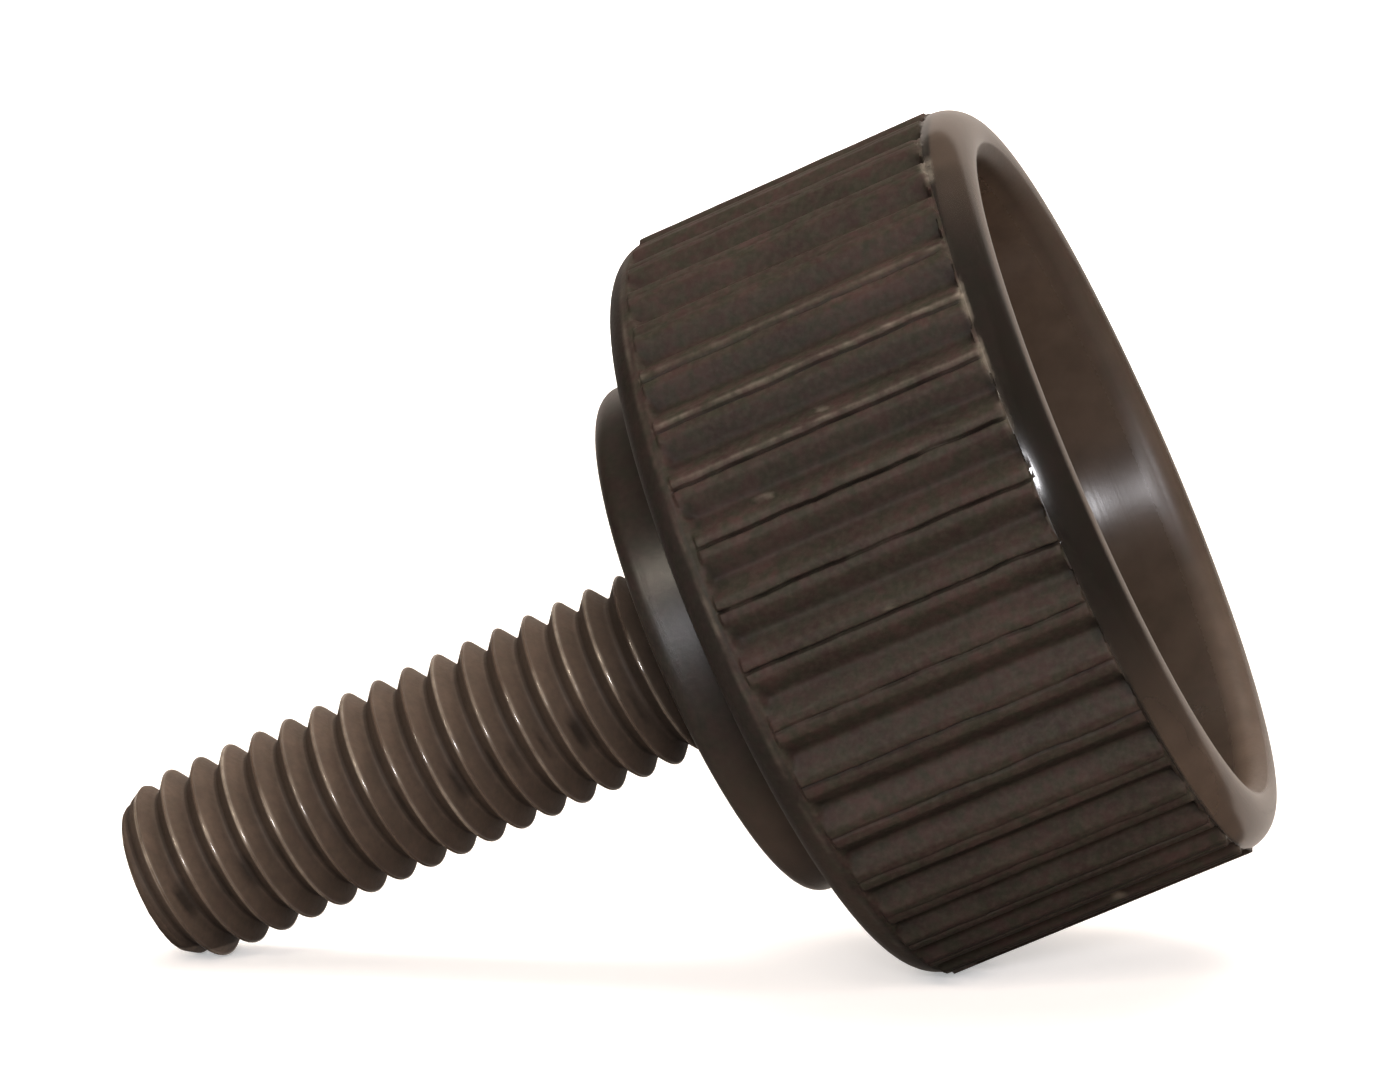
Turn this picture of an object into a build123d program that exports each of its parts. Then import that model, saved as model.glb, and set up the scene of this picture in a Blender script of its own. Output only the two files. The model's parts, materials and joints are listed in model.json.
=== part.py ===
from build123d import *
import os
from math import asin, atan2, cos, degrees, hypot, radians, sin, tan

# A knurled thumb screw with a cupped head, turned from one bar of steel. Lengths are in millimetres.
# It lies as it comes to rest on a bench: on the first thread behind its point and on two ridges of the knurl.
# Its axis rises towards +X in the XZ plane, with the point towards -X and the cup facing +X and up.

# Shank: an M6 thread of 1 mm pitch, kept here as its outside cylinder
thread_diameter = 5.8
thread_length = 18.4
point_depth = 0.57
point_angle = 30.0

# Collar that seats on the clamped part
collar_diameter = 15.9
collar_height = 2.0
collar_round = 0.5

# Head, as turned before knurling
head_diameter = 23.0
head_height = 11.3
head_corner_round = 0.9

# Cup in the end of the head, with a full round lip that turns further outwards than inwards
cup_wall_thickness = 1.72
cup_floor_thickness = 2.6
lip_outer_share = 0.64

# Knurl: straight ridges raised a little above the turned head, with flat crests and V grooves,
# and a plain land at each end
ridge_count = 40
ridge_rise = 0.12
knurl_land = 0.05
groove_depth = 0.38
groove_floor_width = 0.14
crest_share = 0.34

# Cuts run this far past the surface that they open
overrun = 0.5

# Radii, and stations along the axis from the point
thread_radius = thread_diameter / 2
point_radius = thread_radius - point_depth
collar_radius = collar_diameter / 2
head_radius = head_diameter / 2
cup_radius = head_radius - cup_wall_thickness
ridge_radius = head_radius + ridge_rise
point_length = point_depth / tan(radians(point_angle))
head_start = thread_length + collar_height
head_end = head_start + head_height
cup_floor = head_start + cup_floor_thickness

# The wall of the cup ends in two quarter rounds that meet at the crest of the lip
lip_outer_round = cup_wall_thickness * lip_outer_share
lip_inner_round = cup_wall_thickness - lip_outer_round
lip_radius = cup_radius + lip_inner_round

# The knurl runs between the lands at the head's rounded corner and at the start of the lip
corner_end = head_start + head_corner_round
lip_start = head_end - lip_outer_round
knurl_start = corner_end + knurl_land
knurl_end = lip_start - knurl_land
ridge_angle = 360 / ridge_count
groove_half_angle = ridge_angle * (1 - crest_share) / 2
mouth_half_width = ridge_radius * sin(radians(groove_half_angle))
mouth_radius = ridge_radius * cos(radians(groove_half_angle))
groove_radius = ridge_radius - groove_depth
flank_slope = (mouth_half_width - groove_floor_width / 2) / (mouth_radius - groove_radius)
cut_radius = ridge_radius + overrun
cut_half_width = mouth_half_width + flank_slope * (cut_radius - mouth_radius)

# At rest the lowest groove straddles the bench, so its two ridges and the first thread touch it,
# unless the head's rounded corner reaches lower
ridge_tilt = atan2(mouth_radius - thread_radius, knurl_start - point_length)
corner_run = corner_end - point_length
corner_drop = head_radius - head_corner_round - thread_radius
corner_tilt = atan2(corner_drop, corner_run) + asin(head_corner_round / hypot(corner_run, corner_drop))
rest_tilt = max(ridge_tilt, corner_tilt)
axis_rise = sin(rest_tilt)
axis_run = cos(rest_tilt)
point_height = thread_radius * axis_run - point_length * axis_rise
left_end = -point_radius * axis_rise
right_end = lip_start * axis_run + lip_radius * axis_rise + lip_outer_round
point_place = Vector(-(left_end + right_end) / 2, 0, point_height)
screw_direction = Vector(axis_run, 0, axis_rise)

# Half sections are drawn on section_plane, with X along the screw and Y away from its axis
section_plane = Plane(origin=point_place, x_dir=screw_direction, z_dir=(0, -1, 0))
screw_axis = Axis(point_place, screw_direction)
# Cross sections are drawn on knurl_plane, with X pointing straight down from the axis
knurl_plane = Plane(origin=point_place + screw_direction * knurl_start,
                    x_dir=(axis_rise, 0, -axis_run), z_dir=screw_direction)


with BuildPart() as screw:
    # Point, threaded shank and collar, and the head's turned outside, lip and cup
    with BuildSketch(section_plane):
        with BuildLine():
            Polyline(
                (0, 0),
                (0, point_radius),
                (point_length, thread_radius),
                (thread_length, thread_radius),
                (thread_length, collar_radius - collar_round),
            )
            RadiusArc(
                (thread_length, collar_radius - collar_round),
                (thread_length + collar_round, collar_radius),
                collar_round,
            )
            Polyline(
                (thread_length + collar_round, collar_radius),
                (head_start, collar_radius),
                (head_start, head_radius - head_corner_round),
            )
            RadiusArc(
                (head_start, head_radius - head_corner_round),
                (corner_end, head_radius),
                head_corner_round,
            )
            Polyline(
                (corner_end, head_radius),
                (knurl_start, head_radius),
                (knurl_start, ridge_radius),
                (knurl_end, ridge_radius),
                (knurl_end, head_radius),
                (lip_start, head_radius),
            )
            RadiusArc((lip_start, head_radius), (head_end, lip_radius), lip_outer_round)
            RadiusArc((head_end, lip_radius), (head_end - lip_inner_round, cup_radius), lip_inner_round)
            Polyline(
                (head_end - lip_inner_round, cup_radius),
                (cup_floor, cup_radius),
                (cup_floor, 0),
                (0, 0),
            )
        make_face()
    revolve(axis=screw_axis)

    # Knurl: one V groove between each pair of ridges, with a groove at the very bottom
    with BuildSketch(knurl_plane):
        with PolarLocations(0, ridge_count):
            Polygon(
                (groove_radius, -groove_floor_width / 2),
                (cut_radius, -cut_half_width),
                (cut_radius, cut_half_width),
                (groove_radius, groove_floor_width / 2),
                align=None,
            )
    extrude(amount=knurl_end - knurl_start, mode=Mode.SUBTRACT)

screw.part.label = "screw"

os.makedirs("parts", exist_ok=True)
export_step(screw.part, "parts/screw.step")
print(f"axis rises {degrees(rest_tilt):.3f} degrees, point at {tuple(round(v, 4) for v in point_place)}")
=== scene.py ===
import json
from math import acos, cos, degrees, pi, radians, sin, tan

import bpy
import numpy as np
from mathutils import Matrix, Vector, noise


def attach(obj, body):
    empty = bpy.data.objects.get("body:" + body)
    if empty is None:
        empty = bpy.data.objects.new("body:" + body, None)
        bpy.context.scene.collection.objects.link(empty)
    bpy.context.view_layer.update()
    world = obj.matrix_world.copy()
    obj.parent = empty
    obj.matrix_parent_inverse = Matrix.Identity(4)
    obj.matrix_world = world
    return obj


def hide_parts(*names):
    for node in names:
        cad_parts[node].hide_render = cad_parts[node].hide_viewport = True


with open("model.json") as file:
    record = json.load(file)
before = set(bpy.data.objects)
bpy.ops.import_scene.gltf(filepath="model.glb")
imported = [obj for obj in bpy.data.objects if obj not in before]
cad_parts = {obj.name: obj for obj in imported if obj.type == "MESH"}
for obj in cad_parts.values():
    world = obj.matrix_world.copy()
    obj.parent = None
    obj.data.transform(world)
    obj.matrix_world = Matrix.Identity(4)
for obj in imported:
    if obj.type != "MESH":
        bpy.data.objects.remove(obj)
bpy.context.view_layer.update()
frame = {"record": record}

# The looks of a knurled thumb screw with a cupped head: its thread, its knurl and its black oxide.
# Lengths are in millimetres unless a comment says otherwise.
# A station is a distance along the screw from its point.
# A turn is a share of a full turn round its axis, from the top towards the camera and on down.
MM = 0.001

# Sizes of the solid that this piece stands for
THREAD_RADIUS = 2.9
THREAD_LENGTH = 18.4
POINT_DEPTH = 0.57
POINT_SLOPE = tan(radians(30))
COLLAR_RADIUS = 7.95
COLLAR_HEIGHT = 2.0
COLLAR_ROUND = 0.5
HEAD_RADIUS = 11.5
HEAD_HEIGHT = 11.3
CUP_WALL = 1.72
CUP_FLOOR_THICKNESS = 2.6
LIP_OUTER_SHARE = 0.64
RIDGE_COUNT = 40
RIDGE_RISE = 0.12
KNURL_LAND = 0.05
GROOVE_DEPTH = 0.38

# Forms of this piece alone: softer corners, a cup that narrows and ridges that run onto the lip
HEAD_CORNER_ROUND = 1.15
CORNER_CUT_SHORT = 0.25
INNER_CORNER_ROUND = 0.15
FLOOR_ROUND = 0.35
CUP_COVE = 0.4
CUP_COVE_LENGTH = 4.2
CUP_COVE_START = 29.8
RUN_ONTO_LIP = 0.2

# Radii, stations and angles that follow from these sizes
POINT_RADIUS = THREAD_RADIUS - POINT_DEPTH
POINT_LENGTH = POINT_DEPTH / POINT_SLOPE
HEAD_START = THREAD_LENGTH + COLLAR_HEIGHT
HEAD_END = HEAD_START + HEAD_HEIGHT
CUP_RADIUS = HEAD_RADIUS - CUP_WALL
CUP_FLOOR = HEAD_START + CUP_FLOOR_THICKNESS
LIP_OUTER_ROUND = CUP_WALL * LIP_OUTER_SHARE
LIP_INNER_ROUND = CUP_WALL - LIP_OUTER_ROUND
LIP_RADIUS = CUP_RADIUS + LIP_INNER_ROUND
LIP_START = HEAD_END - LIP_OUTER_ROUND
CORNER_START_RADIUS = HEAD_RADIUS - HEAD_CORNER_ROUND
CORNER_ANGLE = degrees(acos(-CORNER_CUT_SHORT / HEAD_CORNER_ROUND))
CORNER_END_RADIUS = HEAD_RADIUS - HEAD_CORNER_ROUND * (1 - sin(radians(CORNER_ANGLE)))
KNURL_START = HEAD_START + HEAD_CORNER_ROUND - CORNER_CUT_SHORT + KNURL_LAND
KNURL_END = LIP_START - KNURL_LAND
KNURL_STOP = KNURL_END + RUN_ONTO_LIP
LIP_ANGLE = degrees(acos((KNURL_STOP - LIP_START) / LIP_OUTER_ROUND))
RIDGE_RADIUS = HEAD_RADIUS + RIDGE_RISE

# Thread: its form over one pitch, as shares of the pitch from the middle of a crest
FIRST_CREST = 0.6
CREST_HALF = 0.03
ROOT_START = 0.43
THREAD_EASE = 0.03
THREAD_SHARES = (-0.5, -0.46, -0.42, -0.36, -0.27, -0.18, -0.11, -0.07, -0.045, -0.02,
                 0.02, 0.045, 0.07, 0.11, 0.18, 0.27, 0.36, 0.42, 0.46)
SPARE_PITCHES = 2

# Thread: its pitch, its depth and its ends
PITCH = 1.0
THREAD_DEPTH = 0.51
THREAD_END_GAP = 0.012
UNDERCUT_WIDTH = 0.7
UNDERCUT_RADIUS = 2.36
UNDERCUT_SLOPE = 1.3
POINT_RINGS = (0.2, 0.6, 0.95)
POINT_EDGE = 0.02

# Unevenness of the thread's crests, with its noise as waves in a pitch and a layer
CREST_WOBBLE = 0.012
WOBBLE_NOISE = (9, 3.0)
CREST_NICKS = 0.03
NICK_NOISE = (5, 8.0)
NICK_CONTRAST = 3
NICK_LEVEL = 1.2

# Wear of the thread's crests all round, and painted glints on the crests along one side
POINT_EDGE_RUB = 0.3
CREST_RUB = 0.1
CREST_RUB_SPREAD = 0.5
CREST_RUB_NOISE = (4, 12.0)
CREST_RUB_MOST = 0.6
CREST_RUB_FADE = 7
GLINT_SIDE = 0.215
GLINT_HALF = 0.06
SIDE_PAINTED_GLINT = 0.35
SIDE_GLINT_SPREAD = 0.6
SIDE_GLINT_NOISE = (3.1, 26.0)
CREST_TURNED_FADE = 8

# Painted shade on the thread: in its roots, in patches low on the near side, on one flank, and by the
# collar as the collar's shadow
ROOT_PAINTED_SHADE = 0.5
ROOT_SHADE_FROM = 0.3
SHADED_SIDE = 0.305
SHADED_HALF = 0.035
SHADED_REACH = 1.3
PATCH_NOISE = (2.3, 17.0)
PATCH_LEVEL = 0.2
PATCH_CONTRAST = 3
PATCH_FROM = 0.2
FLANK_PAINTED_SHADE = 0.45
FLANK_SHADE_RISE = 8
COLLAR_PAINTED_SHADOW = 0.9
COLLAR_SHADOW_START = 14.5
COLLAR_SHADOW_LENGTH = 3.5

# Finish of the collar, of the head's underside and of its corner, with painted shade, painted light along
# the bottom and a painted highlight along the corner
COLLAR_TURNED = 0.62
COLLAR_LOW_PAINTED_LIGHT = 0.7
UNDERSIDE_TURNED = 0.3
UNDERSIDE_PAINTED_SHADE = 0.9
UNDERSIDE_EDGE_SHADE = 0.4
CORNER_TURNED = 0.25
CORNER_PAINTED_SHADE = 0.7
CORNER_LOW_LESS_SHADE = 0.6
CORNER_LOW_PAINTED_LIGHT = 0.5
CORNER_EDGE_PAINTED_HIGHLIGHT = 0.1
CORNER_HIGHLIGHT_BASE = 0.35
CORNER_HIGHLIGHT_SPREAD = 1.3
CORNER_HIGHLIGHT_NOISE = (40, 5.0)

# Knurl: its form over one ridge, as shares of half a ridge's width downwards from its middle
RIDGE_SHARES = (-1, -0.92, -0.8, -0.55, -0.41, -0.35, -0.3, -0.22, -0.13, -0.07, -0.035,
                0, 0.035, 0.07, 0.13, 0.22, 0.3, 0.35, 0.41, 0.55, 0.8, 0.92)
RIDGE_CREST = 0.34
GROOVE_FLOOR = 0.93
RIDGE_EASE = 0.045

# Knurl: its rows, its uneven crests and its ragged ends
KNURL_ROW_GAP = 0.25
KNURL_END_ROWS = (0, 0.025, 0.05, 0.075, 0.1, 0.13, 0.17, 0.22, 0.28, 0.36, 0.46)
CREST_DIPS = 0.012
RIDGE_START_RAMP = 0.1
GROOVE_START_RAMP = 0.3
KNURL_START_RAGGED = 0.2
KNURL_END_RAMP = 0.05
KNURL_END_RAGGED = 0.28
LYING_CREST_DEPTH = 0.5

# Places on the knurl, as turns away from the top: its level top and the ridges that the screw lies on
LEVEL_TOP = 0.05
LEVEL_TOP_FADE = 0.08
LYING_RIDGES = 0.475

# How far the seam along a ridge is open; ridges are counted from the top and on down the near side
SEAM_OPENINGS = {0: 0.1, 1: 0.1, 2: 0.1, 3: 0.1, 4: 0.15, 5: 0.4, 6: 0.8, 7: 1.0,
                 8: 1.1, 9: 1.1, 10: 1.0, 11: 0.6, 12: 0.6, 13: 0.6, 14: 0.25, 15: 0.2}
OTHER_SEAMS = 0.5
SEAM_BASE = 0.85
SEAM_SPREAD = 0.8
SEAM_LEAST = 0.2
SEAM_MOST = 1.2

# Form of a seam, with its width and its wandering as shares of half a ridge's width
SEAM_DEPTH = 0.15
SEAM_HALF = 0.075
SEAM_REACH = 1.2
SEAM_WANDER = 0.05
SEAM_FINE_WANDER = 0.5
SEAM_FOLLOWED = 0.3
SEAM_FOLLOW_FADE = 0.2

# Noise along the ridges, as the step from one to the next, waves in a millimetre and a layer
WANDER_NOISE = (3.7, 0.7, 0.0)
FINE_WANDER_NOISE = (3.7, 2.6, 0.0)
DIP_NOISE = (5.1, 0.9, 0.0)
SEAM_NOISE = (2.3, 1.3, 4.0)
END_RUB_NOISE = (4.3, 1.7, 9.0)
BRIGHT_NOISE = (2.9, 2.2, 15.0)

# Noise across the ridges' ends, as the step from one to the next, waves in half a ridge and a layer
START_NOISE = (1.7, 0.3, 20.0)
END_NOISE = (1.9, 0.9, 30.0)

# Wear of the knurl at its end and in chips at some ridges' ends, and painted highlights on the upper edges
# of some seams
END_RUB = 0.15
END_RUB_LENGTH = 0.3
END_RUB_BASE = 0.2
END_RUB_SPREAD = 0.9
BRIGHT_SEAMS = {5: 0.5, 6: 1.0, 7: 0.7, 8: 0.15}
SEAM_EDGE_PAINTED_HIGHLIGHT = 0.22
BRIGHT_EDGE = -0.2
BRIGHT_HALF = 0.12
BRIGHT_BASE = 0.6
BRIGHT_SPREAD = 0.8
CHIPPED_ENDS = {3: 1.0, 6: 1.0, 7: 0.6}
CHIP_RUB = 0.2
CHIP_LENGTH = 0.22

# Rubbed specks on the knurl, as station, turn and size
SPECKS = ((27.19, 0.138, 0.1), (23.7, 0.203, 0.13), (25.7, 0.2605, 0.09),
          (23.2, 0.236, 0.07), (26.1, 0.18, 0.08), (26.96, 0.456, 0.13))
SPECK_RUB = 0.25
SPECK_REACH = 1.5

# Painted shade on the knurl: in its seams, in its grooves, on the ridges' lower flanks and at both ends,
# weaker along the top
SEAM_PAINTED_SHADE = 0.9
GROOVE_PAINTED_SHADE = 0.3
LOWER_FLANK_PAINTED_SHADE = 0.9
LOWER_FLANK_FADE = 1.2
END_PAINTED_SHADE = 0.6
LIP_END_PAINTED_SHADE = 1.5
LIP_END_SHADE_LENGTH = 0.35
START_SHADE_LENGTH = 0.9
TOP_SHADE = 0.2
TOP_SHADE_HALF = 0.1
TOP_SHADE_FADE = 0.06
KNURL_END_TURNED = 0.06

# The low side and the top side of the screw, as turns away from the top
LOW_SIDE = 0.28
LOW_SIDE_FADE = 0.12
TOP_SIDE = 0.15
TOP_SIDE_FADE = 0.1

# Finish of the point, of the lip and of the cup, with painted light on the lip and the cup
POINT_BROWN = 0.6
LIP_LOW_PAINTED_LIGHT = 0.85
LIP_TOP_PAINTED_LIGHT = 0.6
LIP_CREST_PAINTED_LIGHT = 0.65
LIP_CREST_LOW_PAINTED_LIGHT = 0.2
LIP_INSIDE_LOW_PAINTED_LIGHT = 0.3
LIP_INSIDE_TURNED = 0.45
CUP_TURNED = 0.9
CUP_BROWN = 0.68
CUP_PAINTED_LIGHT_SWING = 0.3
CUP_MIDDLE_BROWN = 0.7

# How finely the surface is divided round the screw
THREAD_COLUMNS = 66
TURNED_COLUMNS = 240

# How finely the surface is divided along the screw
SEAT_GAP = 0.3
SEAT_RINGS = 6
COLLAR_EDGE_STEPS = 8
COLLAR_WALL_GAP = 0.2
COLLAR_WALL_RINGS = 6
INNER_CORNER_STEPS = 4
UNDERSIDE_START_GAP = 0.5
UNDERSIDE_END_GAP = 0.1
UNDERSIDE_RINGS = 5
CORNER_STEPS = 12
LIP_OUTER_STEPS = 16
LIP_INNER_STEPS = 12
LIP_FACE_END = 13
LIP_CREST_END = 4
CUP_WALL_START_GAP = 0.4
CUP_WALL_END_GAP = 0.3
CUP_WALL_RINGS = 18
FLOOR_ROUND_STEPS = 5
FLOOR_GAP = 0.4
FLOOR_RINGS = 8

# Edges sharper than this angle in degrees stay sharp
SHARP_ANGLE = 42

# Colours of the finish
OXIDE_DARK = (0.0235, 0.0140, 0.0116, 1)
OXIDE_LIGHT = (0.042, 0.0230, 0.0195, 1)
OXIDE_GREEN = (0.0225, 0.0220, 0.0138, 1)
OXIDE_SMOOTH = (0.007, 0.006, 0.005, 1)
OXIDE_BROWN = (0.092, 0.0645, 0.0475, 1)
OXIDE_SPECKLE = (0.052, 0.040, 0.031, 1)
# Colour of painted shade
PAINTED_SHADE_COLOUR = (0.006, 0.0045, 0.0035, 1)
BARE_STEEL = (0.58, 0.50, 0.40, 1)

# How much of a colour is mixed in where it is strongest
GREEN_SHARE = 0.9
SMOOTH_SHARE = 0.85
PAINTED_SHADE_SHARE = 0.7
BARE_METALLIC = 0.4

# Noise in the finish, as waves in a metre, detail, and the part of its range that is used
LIGHT_PATCHES = (420.0, 5.0, 0.35, 0.65)
GREEN_PATCHES = (2300.0, 4.0, 0.38, 0.62)
BROWN_PATCHES = (900.0, 4.0, 0.35, 0.65)
WORN_PATCHES = (2600.0, 4.0, 0.3, 0.7)
SPECKLES = (5200.0, 3.0, 0.4, 0.68)
PATCH_ROUGHNESS = 0.55
BROWN_RANGE = (0.68, 0.96)
WORN_RANGE = (0.35, 1.1)

# Grain of the oxide and marks of turning
GRAIN_WAVES = 9000.0
GRAIN_DETAIL = 3.0
GRAIN_NOISE_ROUGHNESS = 0.6
GRAIN_USED = (0.3, 0.7)
GRAIN_RANGE = (-0.06, 0.06)
MARK_WAVES = 9.0
MARK_DETAIL = 2.0
MARK_NOISE_ROUGHNESS = 0.6
MARK_HEIGHT = 0.3
BUMP_STRENGTH = 0.5
BUMP_METRES = 0.000012

# Values of the finish on the matt knurl and on smooth turned faces
ROUGHNESS = (0.66, 0.2)
SPECULAR_LEVEL = (0.22, 0.9)
GRAIN_SHARE = (1.0, 0.1)
SPECKLE_SHARE = (0.4, 0.05)

# How far shine is stretched on turned faces, and the way of that stretch
TURNED_ANISOTROPY = 0.75
QUARTER_TURN = 0.25

# Pale sheet that lies flat under the screw and curves up all round, in metres
SHEET_FLAT = 0.5
SHEET_CURVE = 0.3
SHEET_HEIGHT = 0.7
SHEET_COLUMNS = 96
SHEET_BEND_STEPS = 18
SHEET_COLOUR = (0.88, 0.88, 0.88, 1)
SHEET_ROUGHNESS = 0.9
SHEET_SPECULAR_LEVEL = 0.1
SHEET_GLOW_COLOUR = (0.95, 0.98, 1.0, 1)
SHEET_GLOW = 0.35

# Cards in front, at both sides and on the ground, in metres
CARD_SIDE = 0.32
CARD_FRONT = -0.6
CARD_BACK = 0.28
CARD_HEIGHT = 0.6
CARD_LEVEL = 0.0004
CARD_COLOUR = (0.02, 0.017, 0.015, 1)
CARD_ROUGHNESS = 0.95
GROUND_COLOUR = (0.42, 0.36, 0.32, 1)

# Glowing panel behind the screw, in metres
PANEL_SIDE = 0.4
PANEL_BACK = 0.45
PANEL_LOW = -0.25
PANEL_HIGH = 0.35
PANEL_COLOUR = (1.0, 0.87, 0.77, 1)
PANEL_GLOW = 0.58

# Lights, with places, aims, widths and heights in metres and power in watts
SCREW_MIDDLE = (0.008, 0.0, 0.013)
BACKDROP_AIM = (0.0, 0.75, 0.2)
WARM_WHITE = (1.0, 0.92, 0.85)
MIRRORED_LIGHTS = {
    "lamp": {"place": (0.044, -0.487, 0.126), "size": (0.14, 0.05), "power": 1.5,
             "colour": (0.97, 0.96, 1.0)},
    "side_lamp": {"place": (-0.203, -0.397, 0.232), "size": (0.06, 0.06), "power": 0.45,
                  "colour": (1.0, 0.89, 0.74)},
}
SOFT_LIGHTS = {
    "main": {"place": (0.036, -0.476, 0.288), "size": (0.12, 0.12), "power": 0.5},
    "right": {"place": (0.29, -0.1, 0.1), "size": (0.15, 0.15), "power": 0.4},
    "high": {"place": (0.0, 0.14, 0.72), "size": (1.0, 1.0), "power": 9.0},
    "backdrop": {"place": (0.0, 0.25, 0.75), "size": (0.5, 0.5), "power": 8.0, "aim": BACKDROP_AIM},
}

# Light of the room, which fades from the left to the right
ROOM_COLOUR = (1.0, 0.86, 0.75, 1)
ROOM_LEFT = 0.13
ROOM_RIGHT = 0.07
ROOM_FADE = 0.7

# Camera, as read from the photograph
CAMERA_PLACE = (30.015, -152.173, 25.496)
CAMERA_ANGLES = (85.2242, 0.6957, 10.9574)
CAMERA_LENS = 137.12
CAMERA_SENSOR = 36.0
CAMERA_NEAREST_METRES = 0.005

# The screw's own directions in the scene, read from the mount on its thread
thread_mount = next(mount for mount in frame["record"]["mounts"] if mount["name"] == "thread")
ALONG = -np.array(thread_mount["axis"])
NEAR = np.array((0.0, -1.0, 0.0))
UP = np.cross(NEAR, ALONG)
POINT_PLACE = np.array(thread_mount["pos_m"]) / MM - ALONG * (POINT_LENGTH + THREAD_LENGTH) / 2

# Values at each point that the finish uses
# They say how far it is worn to bare steel or given a painted glint, how much painted shade it has, how
# plainly it shows turning marks, how far along its stretch of the profile it lies, and how brown its oxide
# is, partly as painted light
TRAITS = ("worn", "sheltered", "turned", "travel", "brown")


class Skin:
    """The screw's surface as one closed mesh, laid ring by ring from its point to the cup's floor."""

    def __init__(self):
        self.places = []
        self.turns = []
        self.ways = []
        self.traits = {name: [] for name in TRAITS}
        self.faces = []
        self.count = 0

    def add(self, station, radius, turn, **traits):
        """Add points and return their numbers in the shape of the arrays given."""
        station, radius, turn = np.broadcast_arrays(station, radius, turn)
        angle = 2 * pi * turn.ravel()[:, None]
        outward = np.cos(angle) * UP + np.sin(angle) * NEAR
        on_axis = POINT_PLACE + station.ravel()[:, None] * ALONG
        self.places.append(on_axis + radius.ravel()[:, None] * outward)
        self.turns.append(turn.ravel())
        self.ways.append(np.cos(angle) * NEAR - np.sin(angle) * UP)
        for name in TRAITS:
            self.traits[name].append(np.broadcast_to(traits.get(name, 0.0), station.shape).ravel())
        numbers = np.arange(self.count, self.count + station.size).reshape(station.shape)
        self.count += station.size
        return numbers

    def face(self, *numbers):
        """Add a face without repeated points, or none if fewer than three points are left."""
        kept = list(dict.fromkeys(int(number) for number in numbers))
        if len(kept) > 2:
            self.faces.append(kept)

    def strip(self, ring, beyond):
        """Join two rings of equally many points, one to one."""
        for a, b, c, d in zip(ring, np.roll(ring, -1), np.roll(beyond, -1), beyond):
            self.face(a, b, c, d)

    def join(self, ring, beyond):
        """Join two rings that both begin at the top; their points need not be equally many."""
        turns = np.concatenate(self.turns)
        here = np.append(turns[ring], 1.0)
        there = np.append(turns[beyond], 1.0)
        if len(ring) == len(beyond) and np.allclose(here, there):
            self.strip(ring, beyond)
            return
        i = j = 0
        while i < len(ring) or j < len(beyond):
            if j == len(beyond) or (i < len(ring) and here[i + 1] <= there[j + 1]):
                self.face(ring[i], ring[(i + 1) % len(ring)], beyond[j % len(beyond)])
                i += 1
            else:
                self.face(ring[i % len(ring)], beyond[(j + 1) % len(beyond)], beyond[j])
                j += 1

    def make(self, name, material):
        """Turn what was laid into an object in the scene."""
        mesh = bpy.data.meshes.new(name)
        mesh.from_pydata((np.concatenate(self.places) * MM).tolist(), [], self.faces)
        for trait in TRAITS:
            layer = mesh.attributes.new(trait, "FLOAT", "POINT")
            layer.data.foreach_set("value", np.concatenate(self.traits[trait]).astype(np.float32))
        layer = mesh.attributes.new("way_round", "FLOAT_VECTOR", "POINT")
        layer.data.foreach_set("vector", np.concatenate(self.ways).astype(np.float32).ravel())
        mesh.shade_smooth()
        mesh.set_sharp_from_angle(angle=radians(SHARP_ANGLE))
        mesh.materials.append(material)
        made = bpy.data.objects.new(name, mesh)
        bpy.context.scene.collection.objects.link(made)
        return made


def ripple(*axes):
    """Smooth noise between about -1 and 1 at points given by one, two or three arrays."""
    spread = np.broadcast_arrays(*axes, *([0.0] * (3 - len(axes))))
    values = [noise.noise(Vector(point)) for point in zip(*(axis.ravel() for axis in spread))]
    return np.array(values).reshape(spread[0].shape)


def ripple_along(way, kind):
    """Noise along one line; its kind gives its waves in a unit of the way and its layer."""
    waves, layer = kind
    return ripple(way * waves, layer)


def ridge_noise(ridges, stations, kind):
    """Noise that runs along each ridge and differs from one ridge to the next."""
    step, waves, layer = kind
    return ripple(ridges * step, stations * waves, layer)


def end_noise(ridges, shares, kind):
    """Noise from 0 up that runs across the ends of the ridges."""
    step, waves, layer = kind
    return np.abs(ripple(ridges * step + shares * waves, layer))


def smooth_step(share):
    """0 below 0 and 1 above 1, easing between them."""
    share = np.clip(share, 0, 1)
    return share * share * (3 - 2 * share)


def flank(distance, crest, root, ease):
    """Share of the full depth at a distance from the middle of a crest, with eased corners."""
    def eased(value):
        return (value + np.sqrt(value * value + ease * ease)) / 2
    reach = (np.abs(distance) - crest) / (root - crest)
    return eased(reach) - eased(reach - 1)


def arc(station, radius, size, start, end, steps):
    """Points on a round of the section, from one angle to another; 0 degrees is along the screw."""
    angles = np.radians(np.linspace(start, end, steps + 1))
    return list(zip(station + size * np.cos(angles), radius + size * np.sin(angles)))


def even_turns(columns):
    return np.arange(columns) / columns


def away_from_top(turns):
    """How far each turn is from the top, either way round."""
    return np.abs((turns + 0.5) % 1 - 0.5)


def low_side(turns):
    """1 along the bottom of the screw and 0 over its upper half."""
    return smooth_step((away_from_top(turns) - LOW_SIDE) / LOW_SIDE_FADE)


def top_side(turns):
    """1 along the top of the screw and 0 below it."""
    return smooth_step((TOP_SIDE - away_from_top(turns)) / TOP_SIDE_FADE)


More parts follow.
